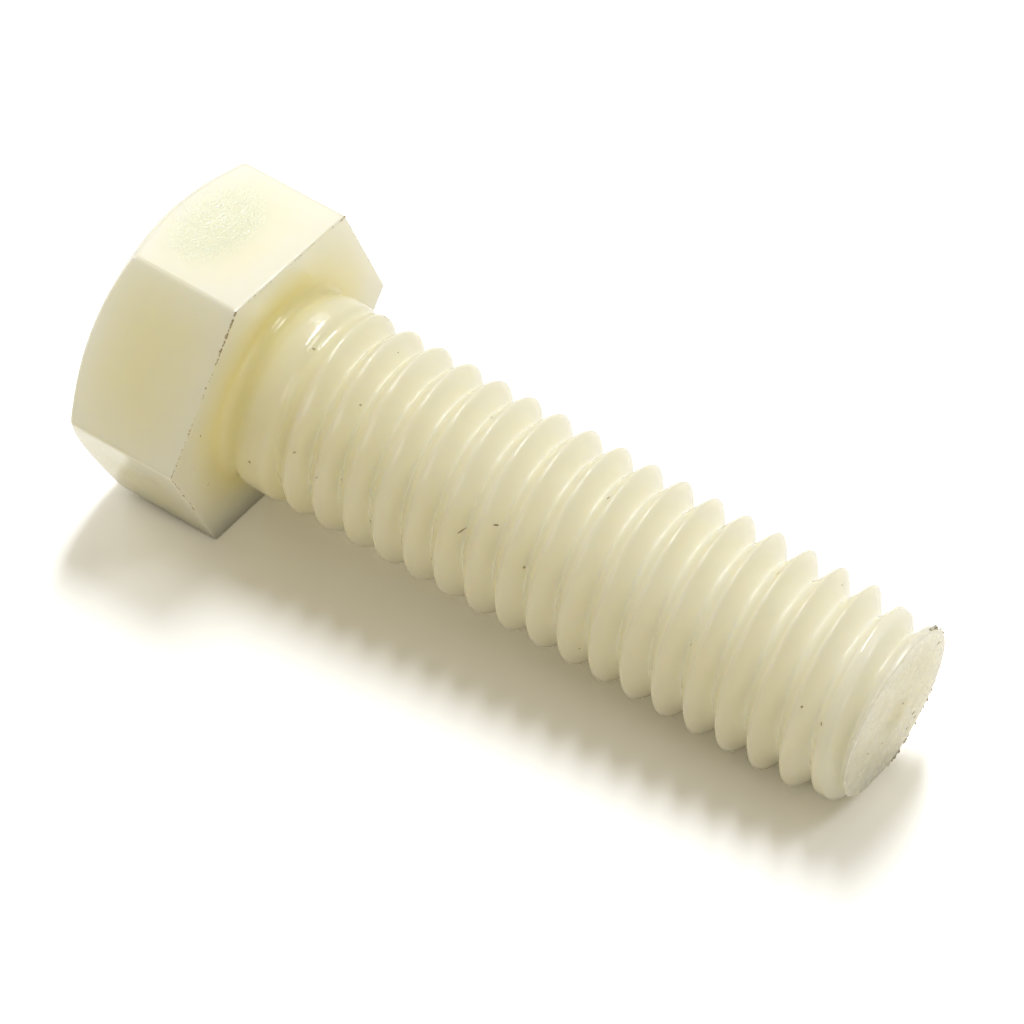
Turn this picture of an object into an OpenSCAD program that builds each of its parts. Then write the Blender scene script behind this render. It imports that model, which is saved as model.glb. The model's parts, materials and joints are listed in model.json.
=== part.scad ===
// Hex head cap screw, fully threaded, moulded in one piece in natural nylon.
// 3/8 inch coarse thread, sixteen turns to the inch, 1 1/4 inch under the head.
// It lies on a floor: the lower edge of the bearing face and one thread crest
// near the tip touch it, so the axis dips a little towards the tip.
// Millimetres. +X runs from head to tip along the floor, +Z is up.

/* [Head] */
// Width across two opposite flats
across_flats = 14.0; // [13.2:0.1:15]
// Height of the head from bearing face to top
head_height = 6.25; // [5:0.05:7]
// Slope of the domed chamfer on the top corners, half way out
chamfer_angle = 30; // [15:1:35]
// Diameter of the round face left inside the chamfer
top_face_d = 13.35; // [12:0.05:13.6]

/* [Thread] */
// Diameter over the crests along the outer part of the shank
crest_d = 9.3; // [9.0:0.05:9.5]
// How much thicker the shank grows towards the head, on the diameter
head_growth = 0.2; // [0:0.02:0.3]
// Distance from one crest to the next
pitch = 1.5875; // [1.4:0.0125:1.75]
// Length from bearing face to the flat of the tip
shank_length = 31.75; // [20:0.25:38]
// Depth of the rounded thread from crest to root, at the tip
thread_depth = 1.1; // [0.9:0.02:1.2]
// Depth of the thread at the head, where the crests are fuller
head_depth = 0.8; // [0.6:0.02:1]
// Turn of the whole helix about the axis
thread_phase = 334; // [0:1:359]

/* [Ends of the thread] */
// Length of the fillet under the head, along the axis
fillet_length = 0.9; // [0.6:0.05:1.1]
// How far the foot of the fillet stands out past the crests
fillet_foot = 0.3; // [0.15:0.05:0.6]
// How far the neck above the fillet stands inside the crests
neck_drop = 0.3; // [0.2:0.05:0.6]
// Diameter of the flat face at the tip
tip_d = 8.56; // [7.8:0.02:8.8]
// Length over which the crests shrink towards the tip
tip_taper = 2.5; // [1.6:0.1:4]
// Diameter of the shallow gate dimple in the tip
dimple_d = 2.2; // [1.5:0.1:3]
// Depth of the gate dimple
dimple_depth = 0.18; // [0.1:0.02:0.4]

/* [Hidden] */

// flat steps round a true circle, and round one turn of the helix
circle_steps = 96;
helix_steps = 32;
// how far one form runs into its neighbour so that the two fuse
lap = 0.4;

crest_r = crest_d / 2;
root_r = crest_r - thread_depth;
neck_r = crest_r - neck_drop;
foot_r = crest_r + fillet_foot;
top_face_r = top_face_d / 2;
corner_r = across_flats / 2 / cos(30);

// Section of one thread from root to root: [offset in pitches, share of the
// depth]. The crest is a narrow flat and the flanks swell towards it, so that
// each ridge is a round lobe and the root between two is narrow.
crest_half = 0.08;
bulge = 1.25;
function raw_share(t) = pow(2 * t, bulge);
function share(t) = (raw_share(t) - raw_share(crest_half)) / (1 - raw_share(crest_half));
section = [
    for (t = [-0.5, -0.38, -0.22, -crest_half, crest_half, 0.22, 0.38])
    [t, share(abs(t))]
];
m = len(section);

// The raw helix starts inside the head and runs a turn past the tip.
helix_start = -pitch / 2 - 0.1;
helix_end = shank_length + 0.1 - pitch / 2;
stations = helix_steps + ceil((helix_end - helix_start) / pitch * helix_steps);

// The crests rise this much, out of the fillet, between these two heights.
rise_height = 0.96;
rise_from = 0.35;
rise_to = 1.25;
// Below the rise the thread hides a little deeper, inside the fillet.
sunk_r = crest_r - rise_height - 0.15;
// The groove under the head is filled in up to the first of these two heights,
// all but a trace of it, and has its full depth from the second.
neck_from = 1.9;
neck_to = 3.5;
neck_trace = 0.1;

// The shank grows evenly towards the head from a little over half way.
growth_length = shank_length * 0.55;
function growth(z) = head_growth / 2 * max(0, 1 - max(0, z) / growth_length);

// Depth of the groove at a height z: it grows evenly from head to tip.
function filled(z) = min(1, max(0, (neck_to - z) / (neck_to - neck_from)));
function depth(z) =
    (head_depth + (thread_depth - head_depth) * min(1, max(0, z / shank_length)))
    * (1 - (1 - neck_trace) * pow(filled(z), 2) * (3 - 2 * filled(z)));

// How far the crests may reach at a height z: they rise out of the fillet,
// stay full, then shrink at the tip, steeply at first and then hardly at all.
function rising_r(z) =
    crest_r + growth(z) - (rise_to - z) / (rise_to - rise_from) * rise_height;
function left_of_taper(z) = min(1, max(0, shank_length - z) / tip_taper);
function falling_r(z) =
    crest_r + growth(z) - (crest_r - tip_d / 2) * (1 - pow(left_of_taper(z), 3));
function reach(z) = z < rise_to ? max(sunk_r, rising_r(z)) : falling_r(z);

// point j of the section at step i of the helix
function turn_at(i) = 360 * i / helix_steps + thread_phase;
function height_at(i, j) = helix_start + pitch * (i / helix_steps + section[j][0]);
function radius_at(i, j) =
    let (z = height_at(i, j))
    min(crest_r + growth(z) - depth(z) * section[j][1], reach(z));
function point_at(i, j) = [
    radius_at(i, j) * cos(turn_at(i)),
    radius_at(i, j) * sin(turn_at(i)),
    height_at(i, j)
];
// index of that point; the end of one section is the start of the next turn's
function index(i, j) = j < m ? i * m + j : (i + helix_steps) * m;

// Resting angle: the screw tips over the edge of the bearing face until the
// first crest of the outer half of the shank meets the floor.
drops = [
    for (i = [0 : stations])
    for (j = [0 : m - 1])
    let (z = height_at(i, j), down = radius_at(i, j) * cos(turn_at(i)))
    if (z > shank_length / 2 && z < shank_length && down > crest_r / 2)
    atan((across_flats / 2 - down) / z)
];
rest_angle = min(drops);

// place of the bearing face's centre, with the footprint centred on the origin
back_x = -head_height * cos(rest_angle) - top_face_r * sin(rest_angle);
front_x = shank_length * cos(rest_angle) + tip_d / 2 * sin(rest_angle);
centre_x = -(back_x + front_x) / 2;
centre_z = across_flats / 2 * cos(rest_angle);

// hexagonal prism whose top corners are turned down by a shallow dome
module head() {
    dome_r = (top_face_r + corner_r) / 2 / sin(chamfer_angle);
    dome_z = -head_height + sqrt(dome_r * dome_r - top_face_r * top_face_r);
    color("ivory")
    intersection() {
        translate([0, 0, -head_height])
            rotate([0, 0, 30])
            cylinder(r = corner_r, h = head_height, $fn = 6);
        translate([0, 0, dome_z])
            sphere(r = dome_r, $fn = circle_steps);
    }
}

// concave elliptical ring that carries the shank into the bearing face
module fillet() {
    steps = 7;
    color("ivory")
    rotate_extrude($fn = circle_steps)
        polygon(concat(
            [[0, -lap], [foot_r - lap, -lap]],
            [for (s = [0 : steps])
                let (a = 90 * s / steps)
                [foot_r - (foot_r - neck_r) * sin(a), fillet_length * (1 - cos(a))]],
            [[root_r - lap, fillet_length + lap], [0, fillet_length + lap]]
        ));
}

// right-hand helical thread, closed at both ends by fans to the axis
module thread() {
    points = concat(
        [for (i = [0 : stations]) for (j = [0 : m - 1]) point_at(i, j)],
        [[0, 0, helix_start], [0, 0, helix_start + pitch * stations / helix_steps]]
    );
    low = (stations + 1) * m;
    high = low + 1;
    last = stations - helix_steps;
    sides = [
        for (i = [0 : stations - 1])
        for (j = [0 : m - 1])
        if (j < m - 1 || i < last)
        for (half = [0, 1])
        half == 0
        ? [index(i, j), index(i, j + 1), index(i + 1, j + 1)]
        : [index(i, j), index(i + 1, j + 1), index(i + 1, j)]
    ];
    low_fan = concat(
        [for (i = [0 : helix_steps - 1]) [low, index(i, 0), index(i + 1, 0)]],
        [for (j = [0 : m - 1]) [low, index(0, j + 1), index(0, j)]]
    );
    high_fan = concat(
        [for (i = [last : stations - 1]) [high, index(i + 1, m - 1), index(i, m - 1)]],
        [for (j = [0 : m - 2]) [high, index(stations, j), index(stations, j + 1)]],
        [[high, index(last, m - 1), index(stations, 0)]]
    );
    color("ivory")
    polyhedron(points = points, faces = concat(sides, low_fan, high_fan), convexity = 12);
}

// threaded shank cut off square at the tip, with the gate dimple
module shank() {
    dimple_r = (dimple_d * dimple_d / 4 + dimple_depth * dimple_depth) / (2 * dimple_depth);
    color("ivory")
    difference() {
        intersection() {
            thread();
            translate([0, 0, -head_height / 2])
                cylinder(r = crest_d, h = shank_length + head_height / 2, $fn = circle_steps);
        }
        translate([0, 0, shank_length + dimple_r - dimple_depth])
            sphere(r = dimple_r, $fn = circle_steps);
    }
}

// the whole screw, standing on its own axis with the bearing face at z = 0
module screw() {
    union() {
        head();
        fillet();
        shank();
    }
}

// the screw as it lies
module cap_screw() {
    color("ivory")
    translate([centre_x, 0, centre_z])
        rotate([0, 90 + rest_angle, 0])
        screw();
}

cap_screw();
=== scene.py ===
import json
import math
import bpy
import numpy as np
from mathutils import Matrix, Vector


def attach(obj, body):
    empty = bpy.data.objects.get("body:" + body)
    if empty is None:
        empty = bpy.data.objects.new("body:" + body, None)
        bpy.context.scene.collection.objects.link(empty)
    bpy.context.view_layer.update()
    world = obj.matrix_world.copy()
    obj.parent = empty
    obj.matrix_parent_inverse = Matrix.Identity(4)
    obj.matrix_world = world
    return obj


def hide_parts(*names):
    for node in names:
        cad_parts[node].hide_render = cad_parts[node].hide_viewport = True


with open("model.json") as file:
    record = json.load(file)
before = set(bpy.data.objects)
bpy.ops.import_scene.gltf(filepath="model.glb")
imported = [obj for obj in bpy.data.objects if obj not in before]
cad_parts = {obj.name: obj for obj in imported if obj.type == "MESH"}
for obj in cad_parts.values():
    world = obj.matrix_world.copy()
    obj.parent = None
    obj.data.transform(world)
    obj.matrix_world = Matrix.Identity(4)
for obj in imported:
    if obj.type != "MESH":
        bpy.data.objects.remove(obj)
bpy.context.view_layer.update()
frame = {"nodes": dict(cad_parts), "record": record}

mm = 0.001
print("frame loaded:", ", ".join(frame["nodes"]))

# where the screw lies: the thread mount gives its axis, its middle and its length
threadMount = next(m for m in frame["record"]["mounts"] if m["name"] == "thread")
axisDir = np.array(threadMount["axis"])
axisDir = axisDir / np.linalg.norm(axisDir)
shankLength = threadMount["dims"]["length_mm"]
crestRadius = threadMount["dims"]["r_mm"]
bearingCentre = np.array(threadMount["pos_m"]) / mm - axisDir * shankLength / 2
sideDir = np.array([0.0, 1.0, 0.0])
downDir = np.cross(sideDir, axisDir)

# sizes in millimetres along and about the screw's own axis, zero at the bearing face
screw = {
    "acrossFlats": 14.0,
    "headHeight": 6.25,
    "topFaceRadius": 6.675,
    "chamferAngle": 30.0,
    "cornerRadius": 0.22,      # vertical edges between the flats
    "rimRadius": 0.12,         # edge where the top face meets the chamfer
    "edgeRadius": 0.20,        # edge where the chamfer meets the flats
    "bearingEdge": 0.09,       # sharp edge round the bearing face
    "topDish": 0.04,           # fall of the top face to its middle
    "sinkDepth": 0.07,         # middle of each flat, drawn in as the moulding cooled
    "sinkOffset": 0.15,        # deepest point, from the head's middle towards the bearing face
    "sinkReach": 0.42,         # from there to its end, as a share of the head's height
    "sinkSpread": 3.1,         # it ends 90 / sinkSpread degrees from the flat's middle
    "sinkPower": 1.5,
    "pitch": 1.5875,
    "threadDepth": 1.20,       # at the tip, before the root is rounded by rootRound / 2
    "headDepth": 0.88,         # the same at the head, where the grooves are shallower
    "headGrowth": 0.095,       # crests stand this much further out under the head
    "growthEnd": 0.55,         # share of the shank over which that fades
    "headWidth": 1.44,         # power that sets how broad a crest is, at the head
    "tipWidth": 1.05,          # the same at the tip
    "headFall": 0.91,          # power that sets how steeply it drops to the root
    "tipFall": 1.08,
    "depthEase": 0.6,          # power with which the depth grows from head to tip
    "rootRound": 0.16,
    "crestRound": 0.06,        # rounding where the neck and the tip cut the crests down
    "crestSpare": 0.02,        # elsewhere that cut stands this far outside them
    "phase": 334.0,            # turn of the helix about the axis
    "helixLead": 0.1,          # start of the helix, beyond half a pitch inside the head
    "neckStart": 1.9,          # groove is filled in up to here
    "neckEnd": 3.5,            # and has its full depth from here
    "neckTrace": 0.08,         # share of the groove left in the neck
    "filletLength": 0.9,
    "neckDrop": 0.26,          # neck stands this far inside the crests
    "filletFall": 0.6,         # slope at which the fillet sinks under the thread past its end
    "filletBlend": 0.10,       # rounding where the fillet meets the thread
    "footStep": 0.30,          # foot of the fillet beyond the crests
    "tipRadius": 4.20,
    "tipTaper": 2.8,           # length over which the crests shrink to the tip
    "tipEdge": 0.07,
    "dimpleRadius": 1.1,       # gate mark in the middle of the tip
    "dimpleDepth": 0.18,
    "columns": 24,             # per flat of the head, carried on down the thread
    "columnEase": 2.2,         # power that crowds the columns towards the corners
    "rowsPerPitch": 22,
}


def smoothMax(a, b, k):
    # (a + b + sqrt((a - b)^2 + k^2)) / 2: the larger of two, rounded over about k
    return (a + b + np.sqrt((a - b) ** 2 + k * k)) / 2


def smoothMin(a, b, k):
    # (a + b - sqrt((a - b)^2 + k^2)) / 2: the smaller of two, rounded over about k
    return (a + b - np.sqrt((a - b) ** 2 + k * k)) / 2


def smoothStep(x):
    # 3 x^2 - 2 x^3 between 0 and 1
    x = np.clip(x, 0, 1)
    return x * x * (3 - 2 * x)


def unit(v):
    # v / |v|, by the last axis
    return v / np.linalg.norm(v, axis=-1, keepdims=True)


def hexColumns(s):
    # angles about the axis: in each sixth, 30 * (1 - (1 - |t|)^ease) either side of the flat's middle
    n = s["columns"]
    t = np.arange(-n / 2, n / 2) / (n / 2)
    inSixth = 30 * np.sign(t) * (1 - (1 - np.abs(t)) ** s["columnEase"])
    return (inSixth[None, :] + 60 * np.arange(6)[:, None]).ravel()


def hexRadius(angle, s):
    # half / cos(angle from the flat's middle), or c * cos(b) + sqrt(R^2 - (c * sin(b))^2) on the
    # arc that rounds the corner, with c its centre's distance and b the angle from the corner
    half = s["acrossFlats"] / 2
    off = (angle + 30) % 60 - 30
    flat = half / np.cos(np.radians(off))
    arcCentre = (half - s["cornerRadius"]) / math.cos(math.radians(30))
    b = np.radians(30 - np.abs(off))
    reach = s["cornerRadius"] ** 2 - (arcCentre * np.sin(b)) ** 2
    arc = arcCentre * np.cos(b) + np.sqrt(np.maximum(reach, 0))
    onArc = arcCentre * np.sin(b) < s["cornerRadius"] * 0.5    # sin 30: where the arc meets the flat
    return np.where(onArc, arc, flat)


def threadRadius(z, angle, s):
    # crest radius - depth * (1 - (1 - t^width)^fall), with t from 0 on the crest line, which climbs
    # one pitch a turn, to 1 at the root: round lobes with a narrow root. The depth fades out in the
    # neck. The crests are cut down by neckDrop at the neck, and by (crest radius - tip radius) *
    # (1 - (length left / tipTaper)^3) at the tip
    p = s["pitch"]
    crestZ = -p / 2 - s["helixLead"] + p * (angle - s["phase"]) / 360
    along = (z - crestZ) / p
    off = np.abs(along - np.round(along))
    ends = np.clip(z / shankLength, 0, 1)
    width = s["headWidth"] + (s["tipWidth"] - s["headWidth"]) * ends
    fall = s["headFall"] + (s["tipFall"] - s["headFall"]) * ends
    depth = s["headDepth"] + (s["threadDepth"] - s["headDepth"]) * ends ** s["depthEase"]
    filled = smoothStep((s["neckEnd"] - z) / (s["neckEnd"] - s["neckStart"]))
    depth = depth * (1 - (1 - s["neckTrace"]) * filled)
    share = 1 - (1 - np.minimum(2 * off, 0.999) ** width) ** fall
    drop = smoothMin(depth * share, depth, s["rootRound"])
    grow = s["headGrowth"] * np.clip(1 - z / (s["growthEnd"] * shankLength), 0, 1)
    neck = s["neckDrop"] * (1 - smoothStep((z - 0.5 * s["filletLength"]) / s["filletLength"]))
    left = np.clip((shankLength - z) / s["tipTaper"], 0, 1)
    taper = (crestRadius - s["tipRadius"]) * (1 - left ** 3)
    cap = crestRadius + grow - neck - taper + s["crestSpare"]
    return smoothMin(crestRadius + grow - drop, cap, s["crestRound"])


def filletRadius(z, s):
    # foot - (foot - neck) * sqrt(1 - (1 - z / length)^2): a quarter ellipse from the bearing face
    # down to the neck, then a straight fall of filletFall
    foot = crestRadius + s["footStep"]
    c = np.clip(1 - z / s["filletLength"], 0, 1)
    past = np.clip(z - s["filletLength"], 0, 2)
    return foot - (foot - crestRadius + s["neckDrop"]) * np.sqrt(1 - c * c) - s["filletFall"] * past


def shankRadius(z, angle, s):
    # the larger of the thread's and the fillet's radius, rounded over filletBlend
    return smoothMax(threadRadius(z, angle, s), filletRadius(z, s), s["filletBlend"])


def bend(before, corner, after, size, steps):
    # rounds a corner: (1 - t)^2 * a + 2 * t * (1 - t) * corner + t^2 * b, with a and b size away
    a = corner + unit(before - corner) * size
    b = corner + unit(after - corner) * size
    t = np.linspace(0, 1, steps)[:, None, None]
    return (1 - t) ** 2 * a + 2 * t * (1 - t) * corner + t * t * b


def between(a, b, steps):
    # rows strictly between two rows: a + (b - a) * t
    t = (np.arange(1, steps + 1) / (steps + 1))[:, None, None]
    return a + (b - a) * t


def screwRows(s):
    # rows of (radius, distance along the axis), a pair for each column of angles: from the middle of
    # the head's top, down the flats, in across the bearing face, along the thread and in to the tip
    hexAngle = hexColumns(s)
    n = len(hexAngle)
    evenAngle = np.linspace(hexAngle[0], hexAngle[0] + 360, n, endpoint=False)
    outer = hexRadius(hexAngle, s)
    top = -s["headHeight"]
    slope = math.tan(math.radians(s["chamferAngle"]))
    one = np.ones(n)
    poleRadius = 0.02          # the last ring before each pole
    faceRows = 8               # between the bearing edge and the foot of the shank
    edgeRows = 3               # round the edge of the tip

    def ring(r, z):
        return np.stack([r * one, z * one], -1)

    centre = ring(poleRadius, top + s["topDish"])
    rim = ring(s["topFaceRadius"], top)
    shoulder = ring(outer, top + (outer - s["topFaceRadius"]) * slope)
    bearing = ring(outer, 0.0)
    foot = ring(crestRadius + s["footStep"], 0.0)
    bendTop = bend(centre, rim, shoulder, s["rimRadius"], 4)
    bendShoulder = bend(rim, shoulder, bearing, s["edgeRadius"], 6)
    bendBearing = bend(shoulder, bearing, foot, s["bearingEdge"], 5)
    blocks = [
        centre[None], between(centre, bendTop[0], 7), bendTop,
        between(bendTop[-1], bendShoulder[0], 4), bendShoulder,
        between(bendShoulder[-1], bendBearing[0], 22), bendBearing,
        between(bendBearing[-1], foot, faceRows), foot[None],
    ]
    head = np.concatenate(blocks)
    headRows = len(head)

    # fillet rows at length * (1 - cos(a)), then even ones, each at a constant distance
    a = np.radians(np.linspace(0, 90, 9)[1:])
    zFillet = s["filletLength"] * (1 - np.cos(a))
    step = s["pitch"] / s["rowsPerPitch"]
    zEnd = shankLength - s["tipEdge"]
    zThread = np.linspace(zFillet[-1], zEnd, int((zEnd - zFillet[-1]) / step))[1:]
    z = np.concatenate([zFillet, zThread])[:, None]
    angle = evenAngle[None, :]
    r = shankRadius(z, angle, s)
    shank = np.stack([r, np.broadcast_to(z, r.shape)], -1)

    # flat of the tip: the cut thread's outline shrinks evenly to the dimple and the centre
    cut = ring(threadRadius(shankLength, evenAngle, s), shankLength)
    tipCentre = ring(poleRadius, shankLength - s["dimpleDepth"])
    edge = bend(shank[-1], cut, tipCentre, s["tipEdge"], edgeRows + 1)[1:]
    inward = between(edge[-1], tipCentre, 20)
    tip = np.concatenate([edge, inward, tipCentre[None]])
    # dimple: depth * (1 - (r / radius)^2)^1.3
    bowl = np.clip(1 - (tip[..., 0] / s["dimpleRadius"]) ** 2, 0, 1)
    sink = s["dimpleDepth"] * bowl ** 1.3
    tip[edgeRows:, :, 1] = shankLength - sink[edgeRows:]

    rows = np.concatenate([head, shank, tip])
    # angles slide from the head's columns to even ones across the bearing face
    blend = np.zeros(len(rows))
    blend[headRows - faceRows - 1:headRows] = smoothStep(np.linspace(0, 1, faceRows + 1))
    blend[headRows:] = 1
    angles = hexAngle[None, :] + (evenAngle - hexAngle)[None, :] * blend[:, None]
    return rows, angles


def addSink(rows, angles, s):
    # flats drawn in by depth * (cos(across) * cos(along))^power, both angles 90 degrees at its ends
    off = (angles + 30) % 60 - 30
    across = np.cos(np.radians(np.clip(np.abs(off) * s["sinkSpread"], 0, 90)))
    z = rows[..., 1]
    fromMiddle = z + s["headHeight"] / 2 - s["sinkOffset"]
    along = np.cos(np.clip(fromMiddle / (s["headHeight"] * s["sinkReach"]), -1, 1) * math.pi / 2)
    onFlat = (rows[..., 0] > s["acrossFlats"] / 2 - 0.01) & (z < -0.1)
    sink = s["sinkDepth"] * across ** s["sinkPower"] * along ** s["sinkPower"]
    rows[..., 0] -= np.where(onFlat, sink, 0)
    return rows


def addMesh(name, verts, faces):
    # a smooth mesh in the scene
    mesh = bpy.data.meshes.new(name)
    mesh.from_pydata(verts.tolist(), [], faces)
    mesh.update()
    mesh.polygons.foreach_set("use_smooth", np.ones(len(mesh.polygons), bool))
    obj = bpy.data.objects.new(name, mesh)
    bpy.context.scene.collection.objects.link(obj)
    return obj


def gridMesh(name, points):
    # quads (i, j) (i, j + 1) (i + 1, j + 1) (i + 1, j) on columns that close in a ring, and a fan of
    # triangles at each end
    rowCount, n = points.shape[:2]
    i = np.arange(rowCount - 1)[:, None]
    j = np.arange(n)[None, :]
    k = (j + 1) % n
    quads = np.stack([i * n + j, i * n + k, (i + 1) * n + k, (i + 1) * n + j], -1).reshape(-1, 4)
    flat = points.reshape(-1, 3)
    startPole = len(flat)
    verts = np.concatenate([flat, points[0].mean(0)[None], points[-1].mean(0)[None]])
    last = (rowCount - 1) * n
    fanA = np.stack([np.full(n, startPole), k[0], j[0]], -1)
    fanB = np.stack([np.full(n, startPole + 1), last + j[0], last + k[0]], -1)
    return addMesh(name, verts, quads.tolist() + fanA.tolist() + fanB.tolist())


def toWorld(r, angle, z):
    # bearing centre + z * axis + r * (cos(angle) * down + sin(angle) * side), in metres
    a = np.radians(angle)[..., None]
    radial = np.cos(a) * downDir + np.sin(a) * sideDir
    return (bearingCentre + z[..., None] * axisDir + r[..., None] * radial) * mm


rows, angles = screwRows(screw)
rows = addSink(rows, angles, screw)
body = gridMesh("screw_body", toWorld(rows[..., 0], angles, rows[..., 1]))
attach(body, "root")
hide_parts("cap_screw")
print("screw surface:", len(body.data.polygons), "faces")

# where the skin differs: grained patches on the flats, warm tints that are also painted shade at the foot
# of the shank, less warmth at the tip
skinParts = {
    "flatGrain": (0.3, 0.3, 0.3, 0.95, 0.08, 0.25),   # on each flat, from the one below
    "patchHeight": -3.95,      # middle of the patch along the axis
    "patchAcross": 3.3,        # half sizes of the patch
    "patchAlong": 1.95,
    "patchEnd": 1.3,           # it ends at this many half sizes
    "patchFade": 0.75,         # and is full this much further in
    "neckGrain": 0.2,
    "flatWarmth": 0.25,        # middle of a flat
    "rimWarmth": 0.03,         # rim of the bearing face
    "faceWarmth": 0.78,        # added at the foot of the shank; there it is painted shade as well as a deeper tint
    "neckWarmth": 0.50,        # added at the neck, fading over neckReach
    "neckReach": 2.5,
    "shankWarmth": 0.33,
    "tipShare": 0.35,          # part of the shank's that is left at the tip, fading over tipReach
    "tipReach": 2.5,
}


def addValues(obj, name, values):
    # one number a vertex; each pole has the mean of its row
    flat = np.concatenate([values.ravel(), [values[0].mean(), values[-1].mean()]])
    layer = obj.data.attributes.new(name, "FLOAT", "POINT")
    layer.data.foreach_set("value", flat.astype(np.float32))


def warmth(rows, angles, s, parts):
    # 0 at thin edges, 1 where the wall is thick; at the foot of the shank it is painted shade as well: on
    # the bearing face rimWarmth + faceWarmth * t^1.3, with t from 0 at the rim to 1 at the foot; on the
    # shank neckWarmth * exp(-z / neckReach) + shankWarmth, times the part left towards the tip
    r, z = rows[..., 0], rows[..., 1]
    half = s["acrossFlats"] / 2
    toCorner = (30 - np.abs((angles + 30) % 60 - 30)) / 30
    toEdge = smoothStep(np.minimum(-z, z + s["headHeight"]) / 1.8)
    flats = parts["flatWarmth"] * smoothStep(toCorner * 1.6) * toEdge
    foot = crestRadius + s["footStep"]
    inward = np.clip((half - 0.1 - r) / (half - 0.1 - foot), 0, 1)
    face = parts["rimWarmth"] + parts["faceWarmth"] * inward ** 1.3
    fade = np.exp(-np.maximum(z, 0) / parts["neckReach"])
    shank = parts["neckWarmth"] * fade + parts["shankWarmth"]
    value = np.where(z > 0.005, shank, np.where(z > -0.06, face, flats))
    full = smoothStep((shankLength - z) / parts["tipReach"])
    left = parts["tipShare"] + (1 - parts["tipShare"]) * full
    return np.where(z > 1, value * left, value)


def mattePatch(rows, angles, s, parts):
    # smoothStep((end - sqrt(across^2 + along^2)) / fade)^1.5, in half sizes: a soft ellipse on each
    # flat, by its own strength, and a weaker band round the neck
    off = np.radians((angles + 30) % 60 - 30)
    strength = np.array(parts["flatGrain"])[np.floor((angles + 30) / 60).astype(int) % 6]
    across = rows[..., 0] * np.sin(off) / parts["patchAcross"]
    along = (rows[..., 1] - parts["patchHeight"]) / parts["patchAlong"]
    reach = np.sqrt(across ** 2 + along ** 2)
    z = rows[..., 1]
    onFlat = (z < -0.1) & (z > -s["headHeight"] + 0.03)
    neck = parts["neckGrain"] * smoothStep((s["neckEnd"] - 0.6 - z) / 0.8) * smoothStep(z / 0.5)
    patch = strength * smoothStep((parts["patchEnd"] - reach) / parts["patchFade"]) ** 1.5
    return np.where(onFlat, patch, neck)


def grooves(rows, s):
    # (crest radius - 0.1 - r) / (depth - 0.25): 0 at the crests, 1 at the roots, on the thread only; it
    # masks the painted light at the bottoms of the grooves
    r, z = rows[..., 0], rows[..., 1]
    below = np.clip((crestRadius - 0.1 - r) / (s["threadDepth"] - 0.25), 0, 1)
    return below * smoothStep((z - s["neckStart"]) / 2) * smoothStep((shankLength - 0.2 - z) / 1.2)


def darkerTipMask(rows, s):
    # 0.6 + 0.4 * (inside the dimple) on the flat of the tip, fading over the last crest
    r, z = rows[..., 0], rows[..., 1]
    dimple = 0.4 * smoothStep((s["dimpleRadius"] + 0.5 - r) / 0.9)
    return (0.6 + dimple) * smoothStep((z - shankLength + 0.5) / 0.4)


addValues(body, "warmth", warmth(rows, angles, screw, skinParts))
addValues(body, "matte", mattePatch(rows, angles, screw, skinParts))
# mask for the painted light at the bottoms of the grooves
addValues(body, "groove", grooves(rows, screw))
addValues(body, "scuff", darkerTipMask(rows, screw))

# moulded nylon: milky, warmer where it is thick, with painted shade at the foot of the shank and painted
# light in the grooves, grained patches on the flats
nylonLook = {
    "thin": (0.80, 0.76, 0.585, 1),      # at edges and on the flats
    "thick": (0.80, 0.70, 0.40, 1),      # where the wall is thick; where the bearing face meets the shank it is painted shade too
    "grained": (0.655, 0.665, 0.49, 1),  # matte patches
    "inGroove": (0.95, 0.90, 0.72, 1),   # painted light: the bottoms of the grooves made paler, for the light that gathers and crosses the nylon there
    "scuffed": (0.65, 0.605, 0.45, 1),   # the flat of the tip, darker and blotchy, most in the dimple
    "cloudSize": 3.5,                    # mm, slow change of tint
    "cloudTint": 0.14,                   # its strength, either way
    "grainSize": 0.14,                   # mm, grain of the matte patches
    "scuffSize": 0.7,                    # mm, blotches on the cut tip
    "skinSize": 0.9,                     # mm, faint unevenness everywhere
    "gloss": 0.06,                       # roughness of the plain skin
    "matteGloss": 0.52,                  # roughness of the patches
    "tipDull": 0.7,                      # share of that, and of the grain's height, on the tip
    "tipGrain": 0.15,
    "milkiness": 0.5,                    # share of light that soaks in
    "scatterLength": 0.025,              # m; Cycles divides it by 4 pi, so light goes about 2 mm
    "scatterColour": (1.0, 0.78, 0.40),  # share of that by colour
    "grainHeight": 0.020,                # mm
    "skinHeight": 0.006,                 # mm
    "refraction": 1.53,
}


def node(tree, kind, **values):
    # a new node with the given settings and input values
    made = tree.nodes.new(kind)
    for key, value in values.items():
        if key in made.inputs:
            made.inputs[key].default_value = value
        else:
            setattr(made, key, value)
    return made


def noise(tree, coords, size, detail, rough=0.5):
    # noise whose features are about size millimetres
    made = node(tree, "ShaderNodeTexNoise", Scale=1 / (size * mm), Detail=detail, Roughness=rough)
    tree.links.new(coords.outputs["Object"], made.inputs["Vector"])
    return made.outputs["Fac"]


def mathNode(tree, kind, a, b):
    # one sum on two values, each a link or a number
    made = node(tree, "ShaderNodeMath", operation=kind)
    for socket, value in zip(made.inputs, (a, b)):
        if isinstance(value, (int, float)):
            socket.default_value = value
        else:
            tree.links.new(value, socket)
    return made.outputs[0]


def rangeNode(tree, value, low, high, toLow, toHigh):
    # toLow + (value - low) / (high - low) * (toHigh - toLow), held at both ends
    made = tree.nodes.new("ShaderNodeMapRange")
    for socket, number in zip(made.inputs[1:5], (low, high, toLow, toHigh)):
        socket.default_value = number
    tree.links.new(value, made.inputs[0])
    return made.outputs[0]


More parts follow.
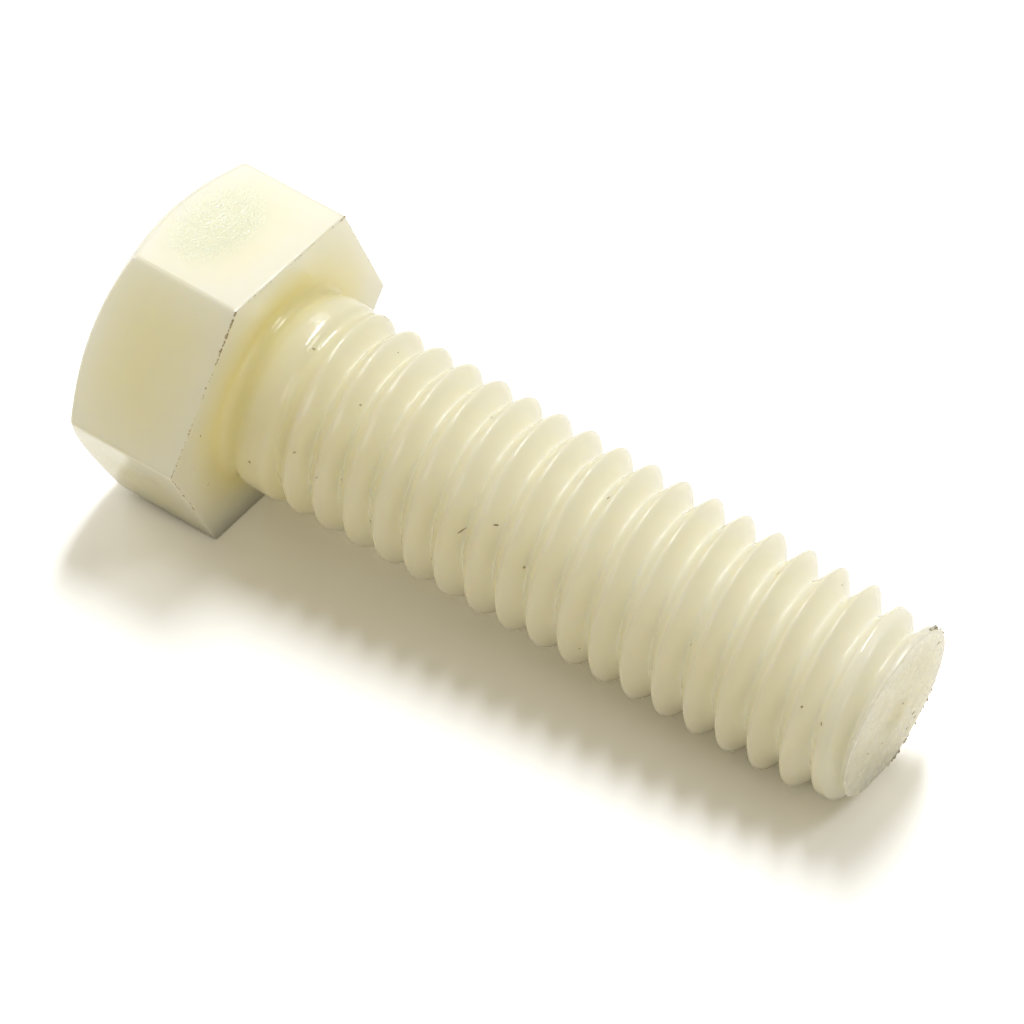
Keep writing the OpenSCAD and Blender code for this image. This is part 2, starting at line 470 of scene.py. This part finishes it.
def mixColours(tree, share, first, second):
    # first + (second - first) * share; first is a link or a colour
    made = node(tree, "ShaderNodeMix", data_type="RGBA", clamp_factor=True)
    if isinstance(first, tuple):
        made.inputs[6].default_value = first
    else:
        tree.links.new(first, made.inputs[6])
    made.inputs[7].default_value = second
    tree.links.new(share, made.inputs[0])
    return made.outputs[2]


def fromMesh(tree, name):
    # the mesh's own value of that name
    return node(tree, "ShaderNodeAttribute", attribute_name=name).outputs["Fac"]


def newMaterial(name):
    # a material, its node tree and its surface node
    made = bpy.data.materials.new(name)
    made.use_nodes = True
    return made, made.node_tree, made.node_tree.nodes["Principled BSDF"]


def makeNylon(look):
    # tint: thin to thick by warmth + clouds, then towards the grained tint, the painted groove light and
    # the darker tip tint
    made, tree, bsdf = newMaterial("nylonNatural")
    coords = tree.nodes.new("ShaderNodeTexCoord")
    matte, scuff = fromMesh(tree, "matte"), fromMesh(tree, "scuff")
    low, high = -look["cloudTint"], look["cloudTint"]
    clouds = rangeNode(tree, noise(tree, coords, look["cloudSize"], 3), 0.3, 0.7, low, high)
    blotches = rangeNode(tree, noise(tree, coords, look["scuffSize"], 3, 0.65), 0.38, 0.62, 0.15, 1.0)
    # warmth is partly painted shade, darkest where the bearing face meets the shank
    warm = mathNode(tree, "ADD", fromMesh(tree, "warmth"), clouds)
    tint = mixColours(tree, warm, look["thin"], look["thick"])
    tint = mixColours(tree, matte, tint, look["grained"])
    # painted light: paler towards the bottoms of the grooves
    tint = mixColours(tree, fromMesh(tree, "groove"), tint, look["inGroove"])
    # darker, blotchy flat of the tip, darkest in the dimple
    tint = mixColours(tree, mathNode(tree, "MULTIPLY", scuff, blotches), tint, look["scuffed"])
    tree.links.new(tint, bsdf.inputs["Base Color"])

    # roughness: gloss, up to matteGloss on the tip and where the grain stands high in a patch
    grain = noise(tree, coords, look["grainSize"], 2, 0.6)
    skin = noise(tree, coords, look["skinSize"], 1)
    patchy = mathNode(tree, "MULTIPLY", matte, rangeNode(tree, grain, 0.40, 0.60, 0.10, 1.0))
    dulled = mathNode(tree, "MAXIMUM", patchy, mathNode(tree, "MULTIPLY", scuff, look["tipDull"]))
    rough = rangeNode(tree, dulled, 0, 1, look["gloss"], look["matteGloss"])
    skinRough = rangeNode(tree, skin, 0.3, 0.7, -0.03, 0.05)
    tree.links.new(mathNode(tree, "ADD", rough, skinRough), bsdf.inputs["Roughness"])

    # height: (grain - 0.5) * grainHeight in the patches, and skin * skinHeight everywhere
    grained = mathNode(tree, "MAXIMUM", matte, mathNode(tree, "MULTIPLY", scuff, look["tipGrain"]))
    even = mathNode(tree, "MULTIPLY", mathNode(tree, "SUBTRACT", grain, 0.5), look["grainHeight"])
    inPatch = mathNode(tree, "MULTIPLY", even, grained)
    height = mathNode(tree, "ADD", inPatch, mathNode(tree, "MULTIPLY", skin, look["skinHeight"]))
    bump = node(tree, "ShaderNodeBump", Strength=1.0, Distance=mm)
    tree.links.new(height, bump.inputs["Height"])
    tree.links.new(bump.outputs[0], bsdf.inputs["Normal"])
    bsdf.inputs["Subsurface Weight"].default_value = look["milkiness"]
    bsdf.inputs["Subsurface Radius"].default_value = look["scatterColour"]
    bsdf.inputs["Subsurface Scale"].default_value = look["scatterLength"]
    bsdf.inputs["IOR"].default_value = look["refraction"]
    return made


nylon = makeNylon(nylonLook)
body.data.materials.append(nylon)
print("nylon ready")

# dirt and ragged bits are small lumps, placed by one fixed run of chance
dice = np.random.default_rng(7)


def shankPoint(z, angle):
    # a point on the shank, in millimetres
    return toWorld(shankRadius(z, angle, screw), angle, z) / mm


def shankFrames(z, angle, turn):
    # point, a direction on the surface (around * cos(turn) + along * sin(turn)), and outward normal
    centre = shankPoint(z, angle)
    around = unit(shankPoint(z, angle + 0.5) - shankPoint(z, angle - 0.5))
    along = unit(shankPoint(z + 0.03, angle) - shankPoint(z - 0.03, angle))
    normal = unit(np.cross(around, along))
    radial = centre - bearingCentre - (centre - bearingCentre) @ axisDir[:, None] * axisDir
    normal = normal * np.sign((normal * radial).sum(-1, keepdims=True))
    t = np.radians(turn)[:, None]
    return centre, around * np.cos(t) + along * np.sin(t), normal


def facePoint(z, across, up):
    # axis point + across * side - up * down: a point on a flat square to the axis, in millimetres
    centre = bearingCentre + z * axisDir
    return centre + np.multiply.outer(across, sideDir) - np.multiply.outer(up, downDir)


lumpRings = 5                  # between a lump's poles
lumpSides = 8                  # points on each


def lumps(name, centre, longDir, normal, sizes, material, rough=0.25):
    # ellipsoids (cos t, sin t cos p, sin t sin p) * half sizes, each along its own three directions,
    # with a radius of 1 + rough * (sin 2p + 0.8 sin(3p + 2t) sin t) sin t + rough / 2 * sin 3t, and
    # its own phases
    count = len(centre)
    t = np.linspace(0, math.pi, lumpRings + 2)[None, 1:-1, None]
    p = np.linspace(0, 2 * math.pi, lumpSides, endpoint=False)[None, None, :]
    phase = dice.uniform(0, 2 * math.pi, (3, count, 1, 1))
    wave = np.sin(2 * p + phase[0]) + 0.8 * np.sin(3 * p + 2 * t + phase[1]) * np.sin(t)
    reach = 1 + rough * wave * np.sin(t) + 0.5 * rough * np.sin(3 * t + phase[2])
    ringX, ringY = np.sin(t) * np.cos(p), np.sin(t) * np.sin(p)
    local = np.stack([np.cos(t) * reach, ringX * reach, ringY * reach], -1)
    poles = np.zeros((count, 2, 3))
    poles[:, 0, 0] = 1
    poles[:, 1, 0] = -1
    local = np.concatenate([local.reshape(count, -1, 3), poles], 1) * sizes[:, None, :]
    sideways = np.cross(normal, longDir)
    frames = np.stack([longDir, sideways, normal], 1)
    verts = (centre[:, None, :] + local @ frames) * mm
    i = np.arange(lumpRings - 1)[:, None] * lumpSides
    j = np.arange(lumpSides)[None, :]
    k = (j + 1) % lumpSides
    quads = np.stack([i + j, i + lumpSides + j, i + lumpSides + k, i + k], -1).reshape(-1, 4)
    last = (lumpRings - 1) * lumpSides
    pole = lumpRings * lumpSides
    fans = np.concatenate([
        np.stack([np.full(lumpSides, pole), j[0], k[0]], -1),
        np.stack([np.full(lumpSides, pole + 1), last + k[0], last + j[0]], -1),
    ])
    start = np.arange(count)[:, None, None] * (pole + 2)
    allQuads = (quads[None] + start).reshape(-1, 4).tolist()
    allFans = (fans[None] + start).reshape(-1, 3).tolist()
    obj = addMesh(name, verts.reshape(-1, 3), allQuads + allFans)
    obj.data.materials.append(material)
    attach(obj, "root")
    return obj


# grime: brown grey, mottled
grimeLook = {
    "dark": (0.32, 0.245, 0.135, 1),
    "pale": (0.56, 0.47, 0.29, 1),
    "size": 0.35,              # mm, mottling from lump to lump
    "rough": 0.6,
}


def makeGrime(look):
    # tint: dark + (pale - dark) * noise
    made, tree, bsdf = newMaterial("grime")
    coords = tree.nodes.new("ShaderNodeTexCoord")
    mottled = rangeNode(tree, noise(tree, coords, look["size"], 2), 0.35, 0.65, 0, 1)
    tint = mixColours(tree, mottled, look["dark"], look["pale"])
    tree.links.new(tint, bsdf.inputs["Base Color"])
    bsdf.inputs["Roughness"].default_value = look["rough"]
    return made


grime = makeGrime(grimeLook)
print("materials ready")

# dark lumps of mould flash strung along the edges of the bearing face
flash = {
    "width": 0.042,
    "inset": 0.045,            # in from the head's corners
    "scatter": 0.012,          # in and out of the line
    "tuck": 0.02,              # then this much further in
    "depth": 0.03,             # behind the bearing face
    "edges": (                 # first corner, next corner, start and end share, pieces, strength
        (2, 3, 0.00, 0.28, 44, 1.0), (2, 3, 0.28, 0.96, 46, 0.5), (3, 4, 0.02, 0.50, 22, 0.7),
        (1, 2, 0.05, 1.00, 70, 0.35), (1, 2, 0.00, 0.03, 4, 1.1), (2, 3, 0.95, 1.00, 6, 1.0),
        (0, 1, 0.30, 0.90, 14, 0.40), (5, 0, 0.10, 0.60, 10, 0.40),
    ),
}


def bearingEdges(spec):
    # a + (b - a) * share between two corners, with a little scatter in and out
    corner = screw["acrossFlats"] / 2 / math.cos(math.radians(30)) - spec["inset"]
    turns = np.radians(60 * np.arange(6))
    corners = np.stack([np.cos(turns), np.sin(turns)], -1) * corner
    centre, longDir, size = [], [], []
    for first, second, low, high, pieces, strength in spec["edges"]:
        a, b = corners[first], corners[second]
        share = np.sort(dice.uniform(low, high, pieces))[:, None]
        place = a + (b - a) * share
        place = place + dice.normal(0, spec["scatter"], (pieces, 1)) * unit(place)
        place = place - unit(place) * spec["tuck"]
        centre.append(facePoint(-spec["depth"], place[:, 0], place[:, 1]))
        direction = facePoint(0, *((b - a) / np.linalg.norm(b - a))[:, None]) - bearingCentre
        longDir.append(np.repeat(direction, pieces, 0))
        width = spec["width"] * (0.55 + 0.45 * strength) * dice.uniform(0.6, 1.2, pieces)
        length = width * dice.uniform(1.0, 1.5 + 2.2 * strength, pieces)
        size.append(np.stack([length, width, width], -1))
    return np.concatenate(centre), np.concatenate(longDir), np.concatenate(size)


centre, longDir, size = bearingEdges(flash)
lumps("flash_line", centre, longDir, np.tile(axisDir, (len(centre), 1)), size, grime, 0.3)

# specks and short fibres pressed into the shank; angles run from the far side up over the top
shankDirt = {
    "placed": (                # along, angle, half length, half width
        (1.8, 184, 0.07, 0.05), (2.4, 107, 0.09, 0.05), (3.8, 164, 0.07, 0.05), (4.6, 181, 0.06, 0.05),
        (5.2, 170, 0.05, 0.05), (5.5, 121, 0.07, 0.04), (6.0, 171, 0.06, 0.04), (8.0, 183, 0.09, 0.06),
        (9.7, 183, 0.10, 0.06), (11.2, 186, 0.07, 0.05), (12.1, 160, 0.26, 0.05), (13.5, 145, 0.15, 0.04),
        (15.3, 162, 0.06, 0.06), (17.2, 98, 0.09, 0.07), (23.5, 152, 0.07, 0.05), (29.1, 150, 0.06, 0.05),
        (30.1, 154, 0.10, 0.07), (25.2, 88, 0.12, 0.05),
    ),
    "strewn": 34,              # small ones anywhere
    "half": 0.025,             # half thickness
}
placed = np.array(shankDirt["placed"], float)
more = shankDirt["strewn"]
lie = np.concatenate([dice.uniform(95, 130, len(placed)), dice.uniform(-90, 90, more)])
strewn = np.stack([
    dice.uniform(3, shankLength - 1, more),    # along
    dice.uniform(-160, 130, more),             # angle
    dice.uniform(0.03, 0.09, more),            # half length
    dice.uniform(0.02, 0.045, more),           # half width
], -1)
onShank = np.concatenate([placed, strewn])
centre, longDir, normal = shankFrames(onShank[:, 0], onShank[:, 1] + 90, lie)
size = np.stack([onShank[:, 2], onShank[:, 3], np.full(len(onShank), shankDirt["half"])], -1)
lumps("shank_specks", centre, longDir, normal, size, grime)

# specks on the flat of the tip and on the bearing face
faceDirt = {
    "tip": (                   # across, up, half length, half width
        (3.1, 2.1, 0.12, 0.06), (2.2, -1.5, 0.16, 0.05), (2.5, -2.0, 0.10, 0.06), (1.9, -2.2, 0.08, 0.05),
        (2.8, -2.7, 0.10, 0.05), (-2.0, -0.4, 0.07, 0.04), (-0.6, -1.0, 0.09, 0.04), (0.7, 0.4, 0.06, 0.04),
    ),
    "bearing": ((-6.0, 1.1, 0.11, 0.05), (-5.1, -2.6, 0.06, 0.04), (3.4, -4.6, 0.07, 0.05)),
    "half": 0.02,              # half thickness
    "under": 0.005,            # middle of a speck, inside the face
}


def faceSpecks(name, z, table, half):
    # specks of that half thickness on a flat square to the axis, each lying a different way
    spots = np.array(table, float)
    turn = dice.uniform(0, math.pi, len(spots))
    centre = facePoint(z, spots[:, 0], spots[:, 1])
    longDir = facePoint(z, spots[:, 0] + np.cos(turn), spots[:, 1] + np.sin(turn)) - centre
    size = np.stack([spots[:, 2], spots[:, 3], np.full(len(spots), half)], -1)
    return lumps(name, centre, longDir, np.tile(axisDir, (len(spots), 1)), size, grime)


faceSpecks("tip_specks", shankLength - faceDirt["under"], faceDirt["tip"], faceDirt["half"])
faceSpecks("bearing_specks", -faceDirt["under"], faceDirt["bearing"], faceDirt["half"])

# ragged rim left where the tip was cut: flakes of nylon round the far edge, some of them grimy
burr = {
    "from": -75,               # degrees, from the far side up
    "to": 60,
    "pieces": 52,
    "radius": 4.16,
    "ragged": (-0.08, 0.14),   # added to the radius, from flake to flake
    "depth": 0.17,             # behind the flat of the tip
    "size": 0.13,
    "least": (0.7, 0.5, 0.8),  # shares of the size: round the rim, along the axis, outwards
    "most": (1.7, 0.9, 1.3),
    "shape": (1, 0.6, 0.8),
    "specks": 22,
    "speckLeast": (0.03, 0.03, 0.025),
    "speckMost": (0.085, 0.055, 0.045),
    "speckOut": 0.03,          # outwards and forwards from the flake
    "speckFront": 0.06,
}
share = (np.arange(burr["pieces"]) + dice.uniform(0, 1, burr["pieces"])) / burr["pieces"]
turn = np.radians(burr["from"] + (burr["to"] - burr["from"]) * share)
reach = burr["radius"] + dice.uniform(*burr["ragged"], burr["pieces"])
height = shankLength - burr["depth"]
centre = facePoint(height, reach * np.cos(turn), reach * np.sin(turn))
outward = facePoint(height, np.cos(turn), np.sin(turn)) - facePoint(height, np.zeros(1), np.zeros(1))
around = np.cross(axisDir, outward)
size = burr["size"] * dice.uniform(burr["least"], burr["most"], (burr["pieces"], 3))
lumps("tip_burr", centre, around, outward, size * burr["shape"], nylon, 0.3)
pick = dice.permutation(burr["pieces"])[:burr["specks"]]
grimy = centre[pick] + outward[pick] * burr["speckOut"] + axisDir * burr["speckFront"]
size = dice.uniform(burr["speckLeast"], burr["speckMost"], (burr["specks"], 3))
lumps("burr_specks", grimy, around[pick], outward[pick], size, grime)
print("specks, flash and burr placed")


def rayKinds(tree):
    # 1 for a ray from the camera, and 1 for a ray from a reflection or a clear refraction, else 0
    path = tree.nodes.new("ShaderNodeLightPath")
    rays = path.outputs
    mirrored = mathNode(tree, "MAXIMUM", rays["Is Glossy Ray"], rays["Is Transmission Ray"])
    return rays["Is Camera Ray"], mirrored


# floor: white to the camera and in reflections, a little warmer where it lights the screw
floorLook = {
    "seen": (1.3, 1.3, 1.3, 1),
    "mirrored": (1.0, 1.0, 1.0, 1),
    "lit": (0.94, 0.90, 0.80, 1),
    "size": 1.6,
}
half = floorLook["size"] / 2
square = np.array([(-half, -half, 0), (half, -half, 0), (half, half, 0), (-half, half, 0)])
floor = addMesh("floor", square, [(0, 1, 2, 3)])


def makePaper(look):
    # a diffuse white chosen by the kind of ray: lit, then mirrored, then seen
    made, tree, bsdf = newMaterial("paper")
    tree.nodes.remove(bsdf)
    cameraRay, mirroredRay = rayKinds(tree)
    surface = node(tree, "ShaderNodeBsdfDiffuse", Color=look["lit"])
    for ray, colour in ((mirroredRay, look["mirrored"]), (cameraRay, look["seen"])):
        other = node(tree, "ShaderNodeBsdfDiffuse", Color=colour)
        choose = tree.nodes.new("ShaderNodeMixShader")
        tree.links.new(ray, choose.inputs[0])
        tree.links.new(surface.outputs[0], choose.inputs[1])
        tree.links.new(other.outputs[0], choose.inputs[2])
        surface = choose
    tree.links.new(surface.outputs[0], tree.nodes["Material Output"].inputs["Surface"])
    return made


floor.data.materials.append(makePaper(floorLook))

# soft lamps on a dome: share is what each adds to a white floor, as a part of white, so its power
# is share * (pi * distance)^2 / sin(elevation) / floorWhite
lampDistance = 0.5
floorWhite = 0.95              # part of the light that a white floor gives back
lamps = {
    "strip": {"azimuth": 112, "elevation": 67, "size": (0.08, 0.33), "share": 0.43},
    "overhead": {"azimuth": 100, "elevation": 69, "size": (0.30, 0.30), "share": 0.06},
    "headSide": {"azimuth": 170, "elevation": 30, "size": (0.60, 0.50), "share": 0.15},
    "tipSide": {"azimuth": 27, "elevation": 58, "size": (0.18, 0.18), "share": 0.11},
    "tipFront": {"azimuth": -25, "elevation": 22, "size": (0.25, 0.25), "share": 0.035},
    "backCard": {"azimuth": 118, "elevation": 45, "size": (0.18, 0.18), "share": 0.045},
}
lampTint = (0.97, 1.0, 1.04)
for name, lampSpec in lamps.items():
    az, el = math.radians(lampSpec["azimuth"]), math.radians(lampSpec["elevation"])
    toLamp = Vector((math.cos(az) * math.cos(el), math.sin(az) * math.cos(el), math.sin(el)))
    data = bpy.data.lights.new(name, "AREA")
    data.shape = "ELLIPSE"
    data.size, data.size_y = lampSpec["size"]
    data.color = lampTint
    data.energy = lampSpec["share"] * (math.pi * lampDistance) ** 2 / math.sin(el) / floorWhite
    lamp = bpy.data.objects.new(name, data)
    lamp.location = toLamp * lampDistance
    lamp.rotation_euler = (-toLamp).to_track_quat("-Z", "Y").to_euler()
    bpy.context.scene.collection.objects.link(lamp)

# world: a warm fill for the screw, plain white where it is seen or mirrored
sky = {"fill": (1.0, 0.885, 0.62, 1), "strength": 0.27, "white": (1, 1, 1, 1)}
world = bpy.data.worlds.new("studio")
bpy.context.scene.world = world
world.use_nodes = True
tree = world.node_tree
fill = tree.nodes["Background"]
fill.inputs["Color"].default_value = sky["fill"]
fill.inputs["Strength"].default_value = sky["strength"]
backdrop = node(tree, "ShaderNodeBackground", Color=sky["white"], Strength=1.0)
either = tree.nodes.new("ShaderNodeMixShader")
tree.links.new(mathNode(tree, "MAXIMUM", *rayKinds(tree)), either.inputs[0])
tree.links.new(fill.outputs[0], either.inputs[1])
tree.links.new(backdrop.outputs[0], either.inputs[2])
tree.links.new(either.outputs[0], tree.nodes["World Output"].inputs["Surface"])
print("floor, lamps and world ready")

# camera: looks down on the screw from the tip's side; azimuth is from -Y towards +X
view = {
    "azimuth": 31.557,
    "elevation": 42.854,
    "roll": 3.005,
    "distance": 0.19321,
    "target": (0.000175, -0.000661, 0.006494),
    "lens": 157.492,
}
az, el = math.radians(view["azimuth"]), math.radians(view["elevation"])
back = Vector((math.sin(az) * math.cos(el), -math.cos(az) * math.cos(el), math.sin(el)))
cameraData = bpy.data.cameras.new("camera")
cameraData.lens = view["lens"]
cameraData.sensor_width = 36
camera = bpy.data.objects.new("camera", cameraData)
place = Matrix.Translation(Vector(view["target"]) + back * view["distance"])
turn = (-back).to_track_quat("-Z", "Y").to_matrix()
roll = Matrix.Rotation(math.radians(view["roll"]), 3, "Z")
camera.matrix_world = place @ (turn @ roll).to_4x4()
cameraData.clip_start = 0.005
cameraData.clip_end = 10
bpy.context.scene.collection.objects.link(camera)
bpy.context.scene.camera = camera

bpy.context.scene.view_settings.view_transform = "Standard"
